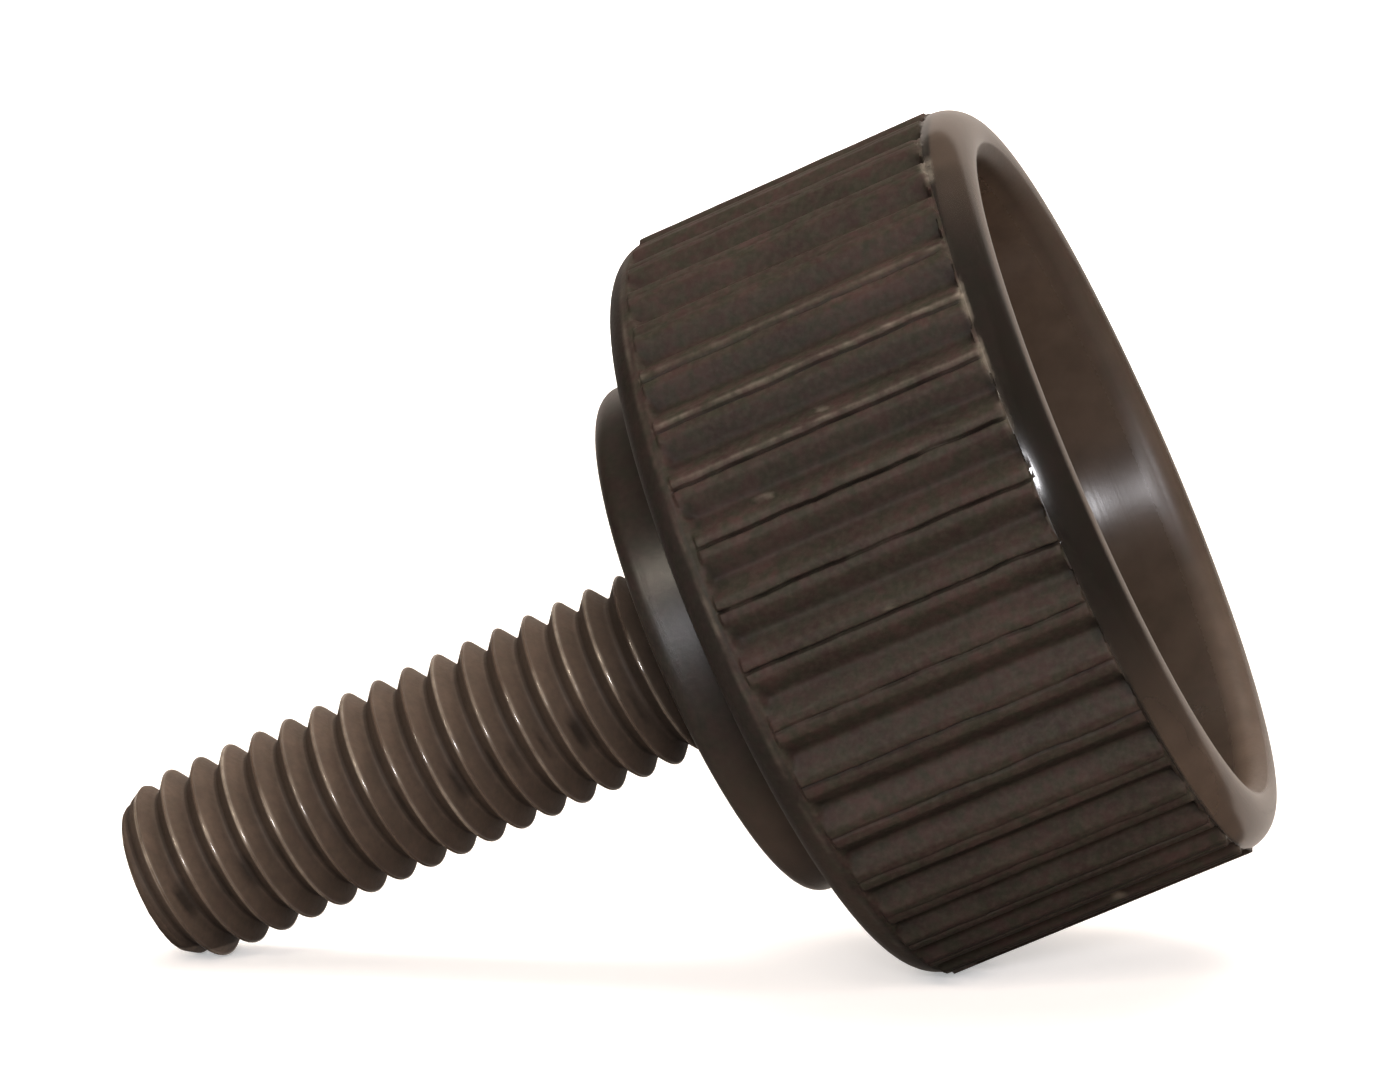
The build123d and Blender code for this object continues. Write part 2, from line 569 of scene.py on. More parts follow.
def lay_turned(skin, ring, section, **traits):
    """Lay a turned stretch of the screw from its section's points, and return its last ring."""
    turns = even_turns(TURNED_COLUMNS)
    travel = 0.0
    before = section[0]
    for point in section:
        travel += np.hypot(point[0] - before[0], point[1] - before[1])
        before = point
        next_ring = skin.add(*point, turns, travel=travel, **traits)
        skin.join(ring, next_ring)
        ring = next_ring
    return ring


def lay_point(skin):
    """The flat end of the shank, and the ring where its chamfer begins."""
    middle = skin.add(0.0, 0.0, np.zeros(1), turned=1.0, brown=POINT_BROWN)
    turns = even_turns(THREAD_COLUMNS)
    rings = []
    for share in POINT_RINGS:
        radius = POINT_RADIUS * share
        rings.append(skin.add(0.0, radius, turns, turned=1.0, travel=radius, brown=POINT_BROWN))
    rings.append(skin.add(POINT_EDGE, POINT_RADIUS, turns, worn=POINT_EDGE_RUB, brown=1.0))
    for number, following in zip(rings[0], np.roll(rings[0], -1)):
        skin.face(middle[0], following, number)
    for ring, next_ring in zip(rings, rings[1:]):
        skin.join(ring, next_ring)
    return rings[-1]


def thread_grid(turns):
    """Each row's share of the pitch, and each point's way along the helix in pitches."""
    shares = np.array(THREAD_SHARES)
    pitches = np.arange(-SPARE_PITCHES, int(THREAD_LENGTH / PITCH) + SPARE_PITCHES)
    rows = (pitches[:, None] + shares).ravel()
    row_shares = np.tile(shares, len(pitches))
    return row_shares[:, None], rows[:, None] + turns


def thread_radii(along, stations, depth):
    """Radii of the thread, cut down by the chamfer at the point and by the undercut at the collar."""
    wobble = CREST_WOBBLE * (ripple_along(along, WOBBLE_NOISE) - 1)
    nicks = CREST_NICKS * smooth_step(ripple_along(along, NICK_NOISE) * NICK_CONTRAST - NICK_LEVEL)
    radii = THREAD_RADIUS - THREAD_DEPTH * depth + (wobble - nicks) * (1 - depth)
    chamfer = POINT_RADIUS + stations * POINT_SLOPE
    to_undercut = np.maximum(0, THREAD_LENGTH - UNDERCUT_WIDTH - stations)
    undercut = UNDERCUT_RADIUS + to_undercut * UNDERCUT_SLOPE
    return np.minimum(np.minimum(radii, chamfer), undercut)


def thread_wear_and_glints(turns, along, depth):
    """Rubbed crests all round, and painted glints on the crests along one side."""
    # Painted glints on the crests along one side
    glint_side = smooth_step(1 - np.abs(turns - GLINT_SIDE) / GLINT_HALF)
    all_round = CREST_RUB + CREST_RUB_SPREAD * ripple_along(along, CREST_RUB_NOISE)
    side_glint = SIDE_PAINTED_GLINT + SIDE_GLINT_SPREAD * ripple_along(along, SIDE_GLINT_NOISE)
    rub_and_highlight = all_round + glint_side * side_glint
    return smooth_step(1 - depth * CREST_RUB_FADE) * np.clip(rub_and_highlight, 0.0, CREST_RUB_MOST)


def thread_painted_shade(turns, row_shares, along, stations, radii):
    """Painted shade in the roots, in patches low on the near side and on the point's flank, and a painted
    shadow by the collar.
    """
    shaded_side = smooth_step(SHADED_REACH - np.abs(turns - SHADED_SIDE) / SHADED_HALF)
    patches = smooth_step(PATCH_LEVEL + ripple_along(along, PATCH_NOISE) * PATCH_CONTRAST)
    patches = patches * shaded_side * (np.abs(row_shares) > PATCH_FROM)
    roots = smooth_step((THREAD_RADIUS - radii) / THREAD_DEPTH - ROOT_SHADE_FROM)
    point_flank = smooth_step(-FLANK_SHADE_RISE * row_shares)
    by_collar = smooth_step((stations - COLLAR_SHADOW_START) / COLLAR_SHADOW_LENGTH)
    shade_levels = ROOT_PAINTED_SHADE * roots + patches
    shade_levels = shade_levels + FLANK_PAINTED_SHADE * point_flank + COLLAR_PAINTED_SHADOW * by_collar
    return np.clip(shade_levels, 0, 1)


def lay_thread(skin, start_ring):
    """The thread, whose rows follow its helix between the rings at the point and at the collar."""
    turns = even_turns(THREAD_COLUMNS)
    end_ring = skin.add(THREAD_LENGTH, UNDERCUT_RADIUS, turns, sheltered=1.0, brown=1.0)
    row_shares, along = thread_grid(turns)
    stations = (FIRST_CREST + along) * PITCH
    depth = flank(row_shares, CREST_HALF, ROOT_START, THREAD_EASE)
    radii = thread_radii(along, stations, depth)
    worn = thread_wear_and_glints(turns, along, depth)
    # Painted shade on the thread
    sheltered = thread_painted_shade(turns, row_shares, along, stations, radii)
    turned = np.broadcast_to(smooth_step(1 - depth * CREST_TURNED_FADE), stations.shape)
    all_turns = np.broadcast_to(turns, stations.shape)

    within = (stations > THREAD_END_GAP) & (stations < THREAD_LENGTH - THREAD_END_GAP)
    numbers = np.where(stations <= THREAD_END_GAP, start_ring, end_ring)
    numbers[within] = skin.add(stations[within], radii[within], all_turns[within], worn=worn[within],
                               sheltered=sheltered[within], brown=1.0, turned=turned[within])
    # The last column of a row meets the first column of the row one pitch further on
    pitch_rows = len(THREAD_SHARES)
    closed = np.hstack([numbers[:-pitch_rows], numbers[pitch_rows:, :1]])
    for row, next_row in zip(closed, closed[1:]):
        for a, b, c, d in zip(row, row[1:], next_row[1:], next_row):
            skin.face(a, b, c, d)
    return end_ring


def lay_collar(skin, ring):
    """The collar's seat, its rounded edge and its wall, lighter along the bottom as painted light, with
    painted shade on the wall towards the head.
    """
    # Painted light: lighter along the bottom
    brown = COLLAR_LOW_PAINTED_LIGHT * low_side(even_turns(TURNED_COLUMNS))
    edge_start = COLLAR_RADIUS - COLLAR_ROUND
    wall_start = THREAD_LENGTH + COLLAR_ROUND
    seat_radii = np.linspace(UNDERCUT_RADIUS + SEAT_GAP, edge_start, SEAT_RINGS)
    seat = [(THREAD_LENGTH, radius) for radius in seat_radii]
    edge = arc(wall_start, edge_start, COLLAR_ROUND, 180, 90, COLLAR_EDGE_STEPS)
    ring = lay_turned(skin, ring, seat + edge[1:], turned=COLLAR_TURNED, brown=brown)
    stations = np.linspace(wall_start + COLLAR_WALL_GAP, HEAD_START - COLLAR_WALL_GAP, COLLAR_WALL_RINGS)
    # Painted shade on the wall, deepest by the head
    shade_levels = np.linspace(0, UNDERSIDE_PAINTED_SHADE, COLLAR_WALL_RINGS)
    for station, sheltered in zip(stations, shade_levels):
        section = [(station, COLLAR_RADIUS)]
        ring = lay_turned(skin, ring, section, turned=COLLAR_TURNED, sheltered=sheltered, brown=brown)
    return ring


def lay_underside(skin, ring):
    """The underside of the head, from the collar to the head's rounded corner, in painted shade that is
    deepest by the collar.
    """
    inner_corner = arc(HEAD_START - INNER_CORNER_ROUND, COLLAR_RADIUS + INNER_CORNER_ROUND,
                       INNER_CORNER_ROUND, 270, 360, INNER_CORNER_STEPS)
    ring = lay_turned(skin, ring, inner_corner, turned=UNDERSIDE_TURNED, sheltered=1.0)
    radii = np.linspace(COLLAR_RADIUS + UNDERSIDE_START_GAP, CORNER_START_RADIUS - UNDERSIDE_END_GAP,
                        UNDERSIDE_RINGS)
    shade_levels = np.linspace(UNDERSIDE_PAINTED_SHADE, UNDERSIDE_EDGE_SHADE, UNDERSIDE_RINGS)
    for radius, sheltered in zip(radii, shade_levels):
        section = [(HEAD_START, radius)]
        ring = lay_turned(skin, ring, section, turned=UNDERSIDE_TURNED, sheltered=sheltered)
    return ring


def lay_corner(skin, ring):
    """The head's rounded corner, with a painted highlight line in places beside the knurl, and painted
    shade that is lighter along the bottom.
    """
    turns = even_turns(TURNED_COLUMNS)
    low = low_side(turns)
    corner = arc(HEAD_START + HEAD_CORNER_ROUND, CORNER_START_RADIUS, HEAD_CORNER_ROUND,
                 180, CORNER_ANGLE, CORNER_STEPS)
    # A painted highlight line along the corner beside the knurl
    rub_and_highlight = np.clip(CORNER_HIGHLIGHT_BASE + ripple_along(turns, CORNER_HIGHLIGHT_NOISE) * CORNER_HIGHLIGHT_SPREAD, 0, 1)
    ring = lay_turned(skin, ring, corner[:-2], turned=CORNER_TURNED,
                      sheltered=CORNER_PAINTED_SHADE - CORNER_LOW_LESS_SHADE * low, brown=CORNER_LOW_PAINTED_LIGHT * low)
    ring = lay_turned(skin, ring, corner[-2:-1], turned=CORNER_TURNED, worn=CORNER_EDGE_PAINTED_HIGHLIGHT * rub_and_highlight)
    return lay_turned(skin, ring, corner[-1:], turned=CORNER_TURNED)


def knurl_rows():
    """Stations of the knurl's rings, close together at both ends."""
    reach = KNURL_END_ROWS[-1]
    middle_start = KNURL_START + reach
    middle_end = KNURL_STOP - reach
    middle_rows = round((middle_end - middle_start) / KNURL_ROW_GAP) + 1
    middle = np.linspace(middle_start, middle_end, middle_rows)
    ends = np.array(KNURL_END_ROWS[:-1])
    return np.concatenate([KNURL_START + ends, middle, (KNURL_STOP - ends)[::-1]])


def by_ridge(ridges, values, otherwise):
    """A value for each column of the knurl, from a table that names some ridges."""
    return np.array([values.get(ridge, otherwise) for ridge in ridges])


def seam_wander(ridges, stations, shares):
    """How far the columns near a seam are moved with it as it wanders along its ridge."""
    slow = ridge_noise(ridges, stations, WANDER_NOISE)
    fine = ridge_noise(ridges, stations, FINE_WANDER_NOISE)
    wander = SEAM_WANDER * (slow + SEAM_FINE_WANDER * fine)
    followed = np.clip((SEAM_FOLLOWED - np.abs(shares)) / SEAM_FOLLOW_FADE, 0, 1)
    return wander * followed


def seam_opening(ridges, stations, shares):
    """How far the seam is open at each point."""
    uneven = SEAM_BASE + SEAM_SPREAD * ridge_noise(ridges, stations, SEAM_NOISE)
    openings = by_ridge(ridges, SEAM_OPENINGS, OTHER_SEAMS) * np.clip(uneven, SEAM_LEAST, SEAM_MOST)
    return smooth_step(SEAM_REACH - np.abs(shares) / SEAM_HALF) * openings


def pressed_at_start(ridges, stations, shares, turns, depth):
    """How far the form is pressed beside the head's corner, where grooves deepen slowly."""
    lying = away_from_top(turns) > LYING_RIDGES
    ragged = KNURL_START_RAGGED * end_noise(ridges, shares, START_NOISE) * (1 - lying)
    ramp = RIDGE_START_RAMP + (GROOVE_START_RAMP - RIDGE_START_RAMP) * depth
    pressed = smooth_step((stations - KNURL_START - ragged) / ramp)
    # The crests that the screw lies on have their full height from the start
    return np.where(lying & (depth < LYING_CREST_DEPTH) & (stations > KNURL_START), 1.0, pressed)


def way_to_end(stations, turns):
    """How far it is to the end of the ridges, which run onto the lip's round except along the top."""
    below_top = smooth_step((away_from_top(turns) - LEVEL_TOP) / LEVEL_TOP_FADE)
    return KNURL_END + RUN_ONTO_LIP * below_top - stations


def plain_radius(stations):
    """Radius that the ridges rise from: the head's corner in the first half and the lip in the second."""
    onto_lip = np.maximum(0, stations - LIP_START)
    lip_radius = LIP_RADIUS + np.sqrt(LIP_OUTER_ROUND**2 - onto_lip**2)
    return np.where(stations < (KNURL_START + KNURL_END) / 2, CORNER_END_RADIUS, lip_radius)


def speck_wear(stations, turns):
    """Small rubbed specks on the knurl."""
    wear = np.zeros(turns.shape)
    for station, turn, size in SPECKS:
        distance = np.hypot(stations - station, (turns - turn) * 2 * pi * HEAD_RADIUS)
        wear = np.maximum(wear, smooth_step(SPECK_REACH - distance / size))
    return SPECK_RUB * wear


def knurl_wear_and_highlights(ridges, stations, shares, turns, depth, to_end):
    """Rubbed ends, painted highlights on the upper edges of some seams, chips at some ends, and specks."""
    rub_and_highlight = np.clip(END_RUB_BASE + END_RUB_SPREAD * ridge_noise(ridges, stations, END_RUB_NOISE), 0, 1)
    end_rub = smooth_step(1 - to_end / END_RUB_LENGTH) * (1 - depth) * rub_and_highlight
    # Painted highlights on the upper edges of some seams
    bright = by_ridge(ridges, BRIGHT_SEAMS, 0.0)
    bright = bright * smooth_step(1 - np.abs(shares - BRIGHT_EDGE) / BRIGHT_HALF)
    uneven = BRIGHT_BASE + BRIGHT_SPREAD * ridge_noise(ridges, stations, BRIGHT_NOISE)
    bright = bright * np.clip(uneven, 0, 1)
    chips = by_ridge(ridges, CHIPPED_ENDS, 0.0) * smooth_step(1 - to_end / CHIP_LENGTH) * (1 - depth)
    worn = END_RUB * end_rub + SEAM_EDGE_PAINTED_HIGHLIGHT * bright + CHIP_RUB * chips + speck_wear(stations, turns)
    return np.clip(worn, 0, 1)


def knurl_painted_shade(stations, shares, turns, depth, seam, to_ragged_end):
    """Painted shade in the seams, in the grooves, on the ridges' lower flanks and at both ends of the
    grooves.
    """
    ends = LIP_END_PAINTED_SHADE * smooth_step(1 - to_ragged_end / LIP_END_SHADE_LENGTH)
    ends = ends + smooth_step(1 - (stations - KNURL_START) / START_SHADE_LENGTH)
    lower_flank = (shares > 0) * depth * (LOWER_FLANK_FADE - depth)
    # Along the top the grooves lie open to the light, so the painted shade there is weaker
    below_top = smooth_step((away_from_top(turns) - TOP_SHADE_HALF) / TOP_SHADE_FADE)
    closed_in = TOP_SHADE + (1 - TOP_SHADE) * below_top
    grooves = (GROOVE_PAINTED_SHADE * depth**2 + LOWER_FLANK_PAINTED_SHADE * lower_flank) * closed_in
    return np.clip(SEAM_PAINTED_SHADE * seam + grooves + END_PAINTED_SHADE * ends * depth, 0, 1)


def lay_knurl(skin, ring):
    """Pressed ridges with ragged ends, some with a seam along their crest where the metal closed up."""
    shares = np.tile(RIDGE_SHARES, RIDGE_COUNT)
    ridges = np.repeat(np.arange(RIDGE_COUNT), len(RIDGE_SHARES))
    stations = knurl_rows()[:, None]
    turns = (ridges + 0.5 + (shares + seam_wander(ridges, stations, shares)) / 2) / RIDGE_COUNT

    depth = flank(shares, RIDGE_CREST, GROOVE_FLOOR, RIDGE_EASE)
    seam = seam_opening(ridges, stations, shares)
    crest = RIDGE_RADIUS - CREST_DIPS * (1 - ridge_noise(ridges, stations, DIP_NOISE))
    ridge_radius = crest - (GROOVE_DEPTH - CREST_DIPS) * depth - SEAM_DEPTH * seam
    to_end = way_to_end(stations, turns)
    to_ragged_end = to_end - KNURL_END_RAGGED * end_noise(ridges, shares, END_NOISE)
    from_start = pressed_at_start(ridges, stations, shares, turns, depth)
    pressed = from_start * smooth_step(to_ragged_end / KNURL_END_RAMP)
    plain = plain_radius(stations)
    radii = plain + (ridge_radius - plain) * pressed

    worn = knurl_wear_and_highlights(ridges, stations, shares, turns, depth, to_end)
    # Painted shade on the knurl
    sheltered = knurl_painted_shade(stations, shares, turns, depth, seam, to_ragged_end) * pressed
    turned = 1 - smooth_step(to_end / KNURL_END_TURNED)
    rings = skin.add(stations, radii, turns, worn=worn, sheltered=sheltered, turned=turned)
    skin.join(ring, rings[0])
    for near_ring, next_ring in zip(rings, rings[1:]):
        skin.strip(near_ring, next_ring)
    return rings[-1]


def lay_lip(skin, ring):
    """The lip's outer face, its crest and its inside, in painted light: lighter along the bottom, the face
    also along the top, the crest and the inside all round.
    """
    turns = even_turns(TURNED_COLUMNS)
    low = low_side(turns)
    outer = arc(LIP_START, LIP_RADIUS, LIP_OUTER_ROUND, LIP_ANGLE, 0, LIP_OUTER_STEPS)
    inner = arc(HEAD_END - LIP_INNER_ROUND, LIP_RADIUS, LIP_INNER_ROUND, 0, -90, LIP_INNER_STEPS)
    # The knurl's last ring stands for the first point of the outer round
    face = outer[1:LIP_FACE_END]
    crest = outer[LIP_FACE_END:] + inner[1:LIP_CREST_END]
    inside = inner[LIP_CREST_END:]
    # Painted light on the lip
    face_painted_light = np.maximum(LIP_LOW_PAINTED_LIGHT * low, LIP_TOP_PAINTED_LIGHT * top_side(turns))
    crest_painted_light = LIP_CREST_PAINTED_LIGHT + LIP_CREST_LOW_PAINTED_LIGHT * low
    inside_painted_light = LIP_CREST_PAINTED_LIGHT + LIP_INSIDE_LOW_PAINTED_LIGHT * low
    ring = lay_turned(skin, ring, face, turned=1.0, brown=face_painted_light)
    ring = lay_turned(skin, ring, crest, turned=1.0, brown=crest_painted_light)
    return lay_turned(skin, ring, inside, turned=LIP_INSIDE_TURNED, brown=inside_painted_light)


def lay_cup(skin, ring):
    """The wall of the cup, which narrows with depth, and its flat floor, lighter towards the top as painted
    light.
    """
    wall_start = HEAD_END - LIP_INNER_ROUND - CUP_WALL_START_GAP
    wall_end = CUP_FLOOR + FLOOR_ROUND + CUP_WALL_END_GAP
    stations = np.linspace(wall_start, wall_end, CUP_WALL_RINGS)
    radii = CUP_RADIUS - CUP_COVE * smooth_step((CUP_COVE_START - stations) / CUP_COVE_LENGTH)
    wall = list(zip(stations, radii))
    floor_edge = radii[-1] - FLOOR_ROUND
    corner = arc(CUP_FLOOR + FLOOR_ROUND, floor_edge, FLOOR_ROUND, 90, 180, FLOOR_ROUND_STEPS)
    floor_radii = np.linspace(floor_edge - FLOOR_GAP, FLOOR_GAP, FLOOR_RINGS)
    floor = [(CUP_FLOOR, radius) for radius in floor_radii]
    # Painted light: lighter towards the top
    brown = CUP_BROWN + CUP_PAINTED_LIGHT_SWING * np.cos(2 * pi * even_turns(TURNED_COLUMNS))
    ring = lay_turned(skin, ring, wall + corner + floor, turned=CUP_TURNED, brown=brown)
    middle = skin.add(CUP_FLOOR, 0.0, np.zeros(1), turned=1.0, brown=CUP_MIDDLE_BROWN)
    for number, following in zip(ring, np.roll(ring, -1)):
        skin.face(number, following, middle[0])


def add_node(tree, kind, inputs=None, **settings):
    """Add a node, set its properties, and fill its inputs with values or with other nodes' outputs."""
    made = tree.nodes.new(kind)
    for name, value in settings.items():
        setattr(made, name, value)
    for name, value in (inputs or {}).items():
        if isinstance(value, bpy.types.NodeSocket):
            tree.links.new(value, made.inputs[name])
        else:
            made.inputs[name].default_value = value
    return made


def attribute_value(tree, name):
    return add_node(tree, "ShaderNodeAttribute", attribute_name=name).outputs["Fac"]


def math_value(tree, operation, first, second, clamp=True):
    inputs = {0: first, 1: second}
    return add_node(tree, "ShaderNodeMath", inputs, operation=operation, use_clamp=clamp).outputs[0]


def product(tree, first, second, clamp=True):
    return math_value(tree, "MULTIPLY", first, second, clamp)


def ranged(tree, value, low, high, to_low, to_high):
    """A value stretched from one range to another."""
    inputs = {"Value": value, "From Min": low, "From Max": high, "To Min": to_low, "To Max": to_high}
    return add_node(tree, "ShaderNodeMapRange", inputs).outputs["Result"]


def by_turned(tree, turned, values):
    """A value that goes from the one on the matt knurl to the one on smooth turned faces."""
    return ranged(tree, turned, 0.0, 1.0, *values)


def noise_value(tree, place, waves, detail, roughness):
    inputs = {"Vector": place, "Scale": waves, "Detail": detail, "Roughness": roughness}
    return add_node(tree, "ShaderNodeTexNoise", inputs).outputs["Fac"]


def noise_share(tree, place, kind, to_range=(0.0, 1.0)):
    """Noise of the finish, with the part of its range that is used stretched to another range."""
    waves, detail, low, high = kind
    return ranged(tree, noise_value(tree, place, waves, detail, PATCH_ROUGHNESS), low, high, *to_range)


def turning_marks(tree):
    """Noise along the profile, like the fine lines that turning leaves."""
    inputs = {"W": attribute_value(tree, "travel"), "Scale": MARK_WAVES, "Detail": MARK_DETAIL,
              "Roughness": MARK_NOISE_ROUGHNESS}
    return add_node(tree, "ShaderNodeTexNoise", inputs, noise_dimensions="1D").outputs["Fac"]


def mixed_colour(tree, share, first, second):
    # The node has sockets for every kind of data: inputs 6 and 7 are its colours, and output 2 is their mix
    return add_node(tree, "ShaderNodeMix", {0: share, 6: first, 7: second}, data_type="RGBA").outputs[2]


def oxide_colour(tree, place, turned):
    """Dark brown oxide with faint reddish and greenish patches, nearly black where it was turned smooth,
    browner in places, partly as painted light, and darkened by painted shade.
    """
    light = noise_share(tree, place, LIGHT_PATCHES)
    green = product(tree, noise_share(tree, place, GREEN_PATCHES), GREEN_SHARE)
    smooth = product(tree, turned, SMOOTH_SHARE)
    uneven = noise_share(tree, place, BROWN_PATCHES, BROWN_RANGE)
    # Browner oxide, partly real and partly painted light
    brown = product(tree, attribute_value(tree, "brown"), uneven)
    speckled = by_turned(tree, turned, SPECKLE_SHARE)
    speckle = product(tree, noise_share(tree, place, SPECKLES), speckled)
    # Painted shade darkens the oxide
    sheltered = product(tree, attribute_value(tree, "sheltered"), PAINTED_SHADE_SHARE)
    colour = mixed_colour(tree, light, OXIDE_DARK, OXIDE_LIGHT)
    colour = mixed_colour(tree, green, colour, OXIDE_GREEN)
    colour = mixed_colour(tree, smooth, colour, OXIDE_SMOOTH)
    colour = mixed_colour(tree, brown, colour, OXIDE_BROWN)
    colour = mixed_colour(tree, speckle, colour, OXIDE_SPECKLE)
    return mixed_colour(tree, sheltered, colour, PAINTED_SHADE_COLOUR)


def grained(tree, place, turned):
    """Roughness and normal of the oxide, which is grainy on the knurl and marked by turning elsewhere."""
    grain = noise_value(tree, place, GRAIN_WAVES, GRAIN_DETAIL, GRAIN_NOISE_ROUGHNESS)
    grain_share = by_turned(tree, turned, GRAIN_SHARE)
    uneven = product(tree, ranged(tree, grain, *GRAIN_USED, *GRAIN_RANGE), grain_share, clamp=False)
    roughness = math_value(tree, "ADD", by_turned(tree, turned, ROUGHNESS), uneven)
    marks = product(tree, product(tree, turning_marks(tree), turned), MARK_HEIGHT)
    height = math_value(tree, "ADD", product(tree, grain, grain_share), marks, clamp=False)
    inputs = {"Strength": BUMP_STRENGTH, "Distance": BUMP_METRES, "Height": height}
    return roughness, add_node(tree, "ShaderNodeBump", inputs).outputs["Normal"]


def blackened_steel():
    """Black oxide on steel, matt on the knurl and satin where turned, rubbed to bare steel in places, with
    painted glints and highlights in others.
    """
    material = bpy.data.materials.new("blackened_steel")
    material.use_nodes = True
    tree = material.node_tree
    tree.nodes.clear()
    place = add_node(tree, "ShaderNodeTexCoord").outputs["Object"]
    turned = attribute_value(tree, "turned")
    broken = noise_share(tree, place, WORN_PATCHES, WORN_RANGE)
    bare = product(tree, attribute_value(tree, "worn"), broken)
    roughness, normal = grained(tree, place, turned)
    way_round = add_node(tree, "ShaderNodeAttribute", attribute_name="way_round")
    shader = add_node(tree, "ShaderNodeBsdfPrincipled", {
        "Base Color": mixed_colour(tree, bare, oxide_colour(tree, place, turned), BARE_STEEL),
        "Metallic": product(tree, bare, BARE_METALLIC),
        "Roughness": roughness,
        "Specular IOR Level": by_turned(tree, turned, SPECULAR_LEVEL),
        "Anisotropic": product(tree, turned, TURNED_ANISOTROPY),
        "Anisotropic Rotation": QUARTER_TURN,
        "Tangent": way_round.outputs["Vector"],
        "Normal": normal,
    })
    add_node(tree, "ShaderNodeOutputMaterial", {"Surface": shader.outputs["BSDF"]})
    return material


def add_screw():
    skin = Skin()
    ring = lay_point(skin)
    ring = lay_thread(skin, ring)
    ring = lay_collar(skin, ring)
    ring = lay_underside(skin, ring)
    ring = lay_corner(skin, ring)
    ring = lay_knurl(skin, ring)
    ring = lay_lip(skin, ring)
    lay_cup(skin, ring)
    screw = skin.make("screw_turned", blackened_steel())
    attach(screw, "root")
    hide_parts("screw")


def plain_material(name, values):
    """A material with the same values all over."""
    material = bpy.data.materials.new(name)
    material.use_nodes = True
    shader = material.node_tree.nodes["Principled BSDF"]
    for socket, value in values.items():
        shader.inputs[socket].default_value = value
    return material


def staged(name, places, faces, material):
    """A mesh that belongs to the stage and not to the part."""
    mesh = bpy.data.meshes.new(name)
    mesh.from_pydata(places, [], faces)
    mesh.materials.append(material)
    made = bpy.data.objects.new(name, mesh)
    bpy.context.scene.collection.objects.link(made)
    return made


def add_floor():
    """The pale sheet, which the screw's smooth faces don't mirror."""
    angles = np.radians(np.linspace(0, 90, SHEET_BEND_STEPS + 1))
    bend = [(SHEET_FLAT + SHEET_CURVE * sin(angle), SHEET_CURVE - SHEET_CURVE * cos(angle))
            for angle in angles]
    section = [(SHEET_FLAT / 2, 0.0), *bend, (SHEET_FLAT + SHEET_CURVE, SHEET_HEIGHT)]
    directions = 2 * pi * even_turns(SHEET_COLUMNS)
    places = [(0.0, 0.0, 0.0)]
    places += [(radius * cos(direction), radius * sin(direction), level)
               for radius, level in section for direction in directions]
    first_row = 1 + np.arange(SHEET_COLUMNS)
    faces = [(0, int(a), int(b)) for a, b in zip(first_row, np.roll(first_row, -1))]
    for row in range(len(section) - 1):
        near = first_row + row * SHEET_COLUMNS
        far = near + SHEET_COLUMNS
        corners = zip(near, far, np.roll(far, -1), np.roll(near, -1))
        faces += [tuple(int(number) for number in face) for face in corners]
    paper = plain_material("pale_paper", {
        "Base Color": SHEET_COLOUR,
        "Roughness": SHEET_ROUGHNESS,
        "Specular IOR Level": SHEET_SPECULAR_LEVEL,
        "Emission Color": SHEET_GLOW_COLOUR,
        "Emission Strength": SHEET_GLOW,
    })
    floor = staged("floor", places, faces, paper)
    floor.data.shade_smooth()
    floor.visible_glossy = False


def add_card(name, places, faces, colour, glow=0.0):
    """A card that the camera doesn't see."""
    material = plain_material(name, {
        "Base Color": colour,
        "Roughness": CARD_ROUGHNESS,
        "Emission Color": PANEL_COLOUR,
        "Emission Strength": glow,
    })
    made = staged(name, places, faces, material)
    made.visible_camera = False
    return made


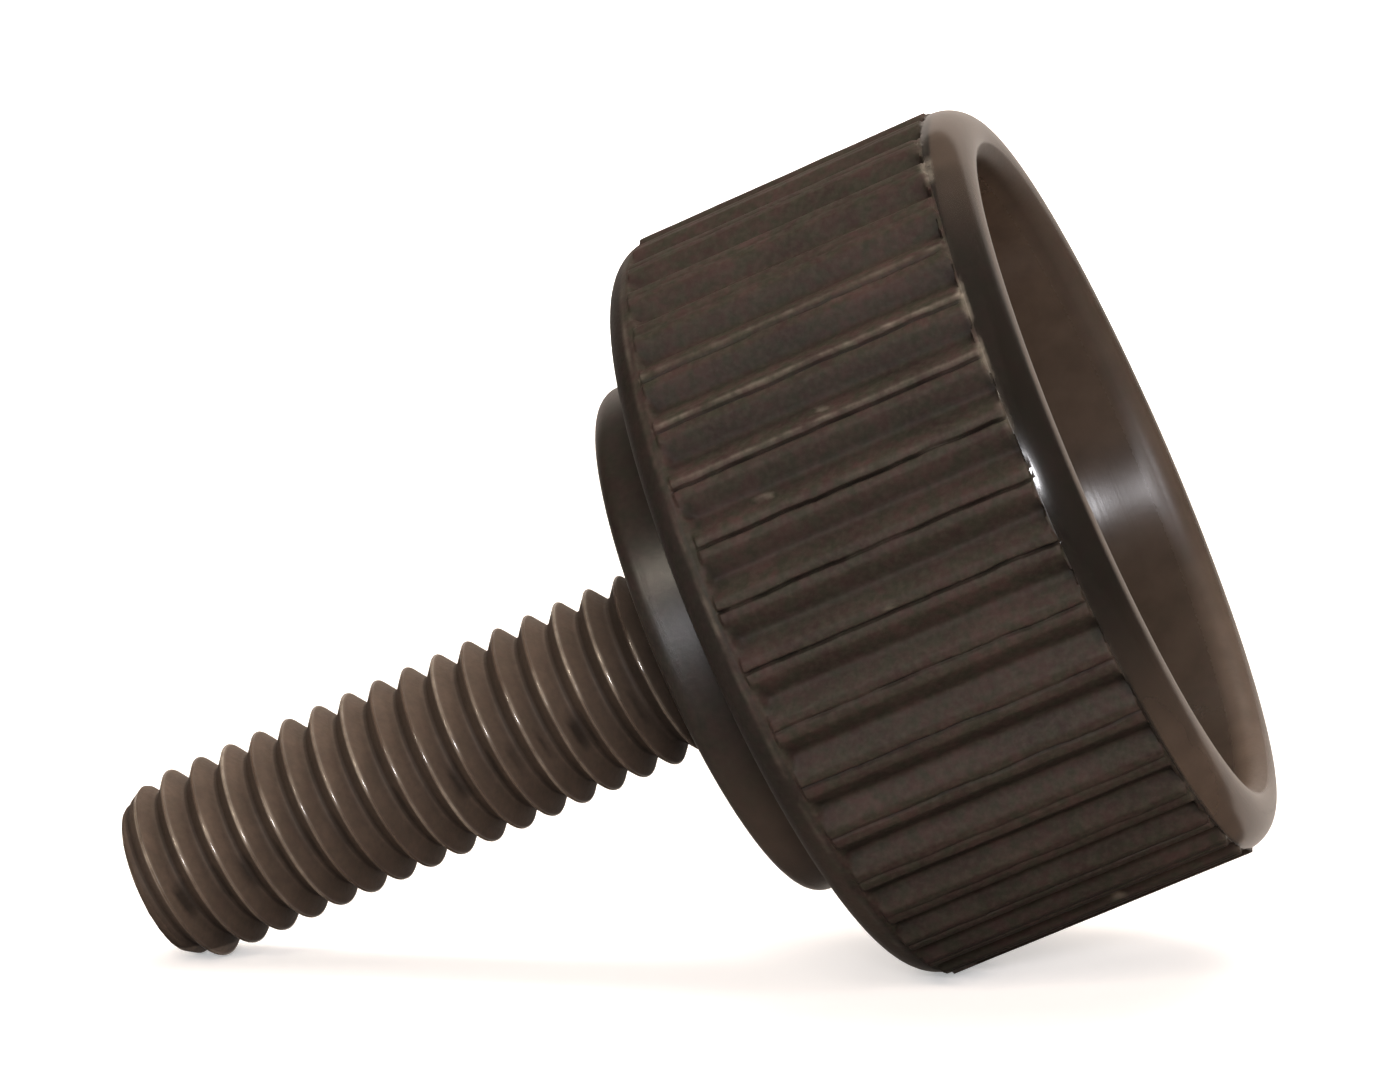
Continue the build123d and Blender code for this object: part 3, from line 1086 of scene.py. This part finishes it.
def add_cards():
    """Dark cards in front and at both sides, a ground card against light from below, and the panel."""
    left = [(-CARD_SIDE, CARD_BACK), (-CARD_SIDE, CARD_FRONT)]
    right = [(CARD_SIDE, CARD_FRONT), (CARD_SIDE, CARD_BACK)]
    corners = left + right
    upright = [(x, y, level) for level in (CARD_LEVEL, CARD_HEIGHT) for x, y in corners]
    above = len(corners)
    sides = [(side, side + 1, side + 1 + above, side + above) for side in range(3)]
    add_card("side_cards", upright, sides, CARD_COLOUR)

    level_corners = [(x, y, CARD_LEVEL) for x, y in corners]
    ground = add_card("ground_card", level_corners, [(0, 1, 2, 3)], GROUND_COLOUR)
    ground.visible_shadow = False
    ground.visible_glossy = False

    heights = (PANEL_LOW, PANEL_HIGH)
    panel_corners = [(x, PANEL_BACK, height) for height in heights for x in (-PANEL_SIDE, PANEL_SIDE)]
    panel = add_card("panel", panel_corners, [(0, 1, 3, 2)], CARD_COLOUR, PANEL_GLOW)
    panel.visible_shadow = False
    panel.visible_diffuse = False


def add_softbox(name, place, size, power, colour=WARM_WHITE, aim=SCREW_MIDDLE, mirrored=False):
    """A soft light turned towards a point; the screw's smooth faces show it only if it is mirrored."""
    light = bpy.data.lights.new(name, "AREA")
    light.shape = "RECTANGLE"
    light.size, light.size_y = size
    light.energy = power
    light.color = colour
    made = bpy.data.objects.new(name, light)
    made.location = place
    made.rotation_euler = (Vector(aim) - Vector(place)).to_track_quat("-Z", "Y").to_euler()
    made.visible_camera = False
    made.visible_glossy = mirrored
    bpy.context.scene.collection.objects.link(made)


def add_lights():
    for name, values in MIRRORED_LIGHTS.items():
        add_softbox(name, mirrored=True, **values)
    for name, values in SOFT_LIGHTS.items():
        add_softbox(name, **values)


def add_room():
    world = bpy.data.worlds.new("studio")
    world.use_nodes = True
    tree = world.node_tree
    direction = add_node(tree, "ShaderNodeTexCoord").outputs["Generated"]
    sideways = add_node(tree, "ShaderNodeSeparateXYZ", {"Vector": direction}).outputs["X"]
    strength = ranged(tree, sideways, -ROOM_FADE, ROOM_FADE, ROOM_LEFT, ROOM_RIGHT)
    background = tree.nodes["Background"]
    background.inputs["Color"].default_value = ROOM_COLOUR
    tree.links.new(strength, background.inputs["Strength"])
    bpy.context.scene.world = world


def add_camera():
    camera = bpy.data.cameras.new("camera")
    camera.sensor_width = CAMERA_SENSOR
    camera.lens = CAMERA_LENS
    camera.clip_start = CAMERA_NEAREST_METRES
    made = bpy.data.objects.new("camera", camera)
    made.location = Vector(CAMERA_PLACE) * MM
    made.rotation_euler = [radians(angle) for angle in CAMERA_ANGLES]
    bpy.context.scene.collection.objects.link(made)
    bpy.context.scene.camera = made


add_screw()
add_floor()
add_cards()
add_lights()
add_room()
add_camera()
bpy.context.scene.view_settings.view_transform = "Standard"
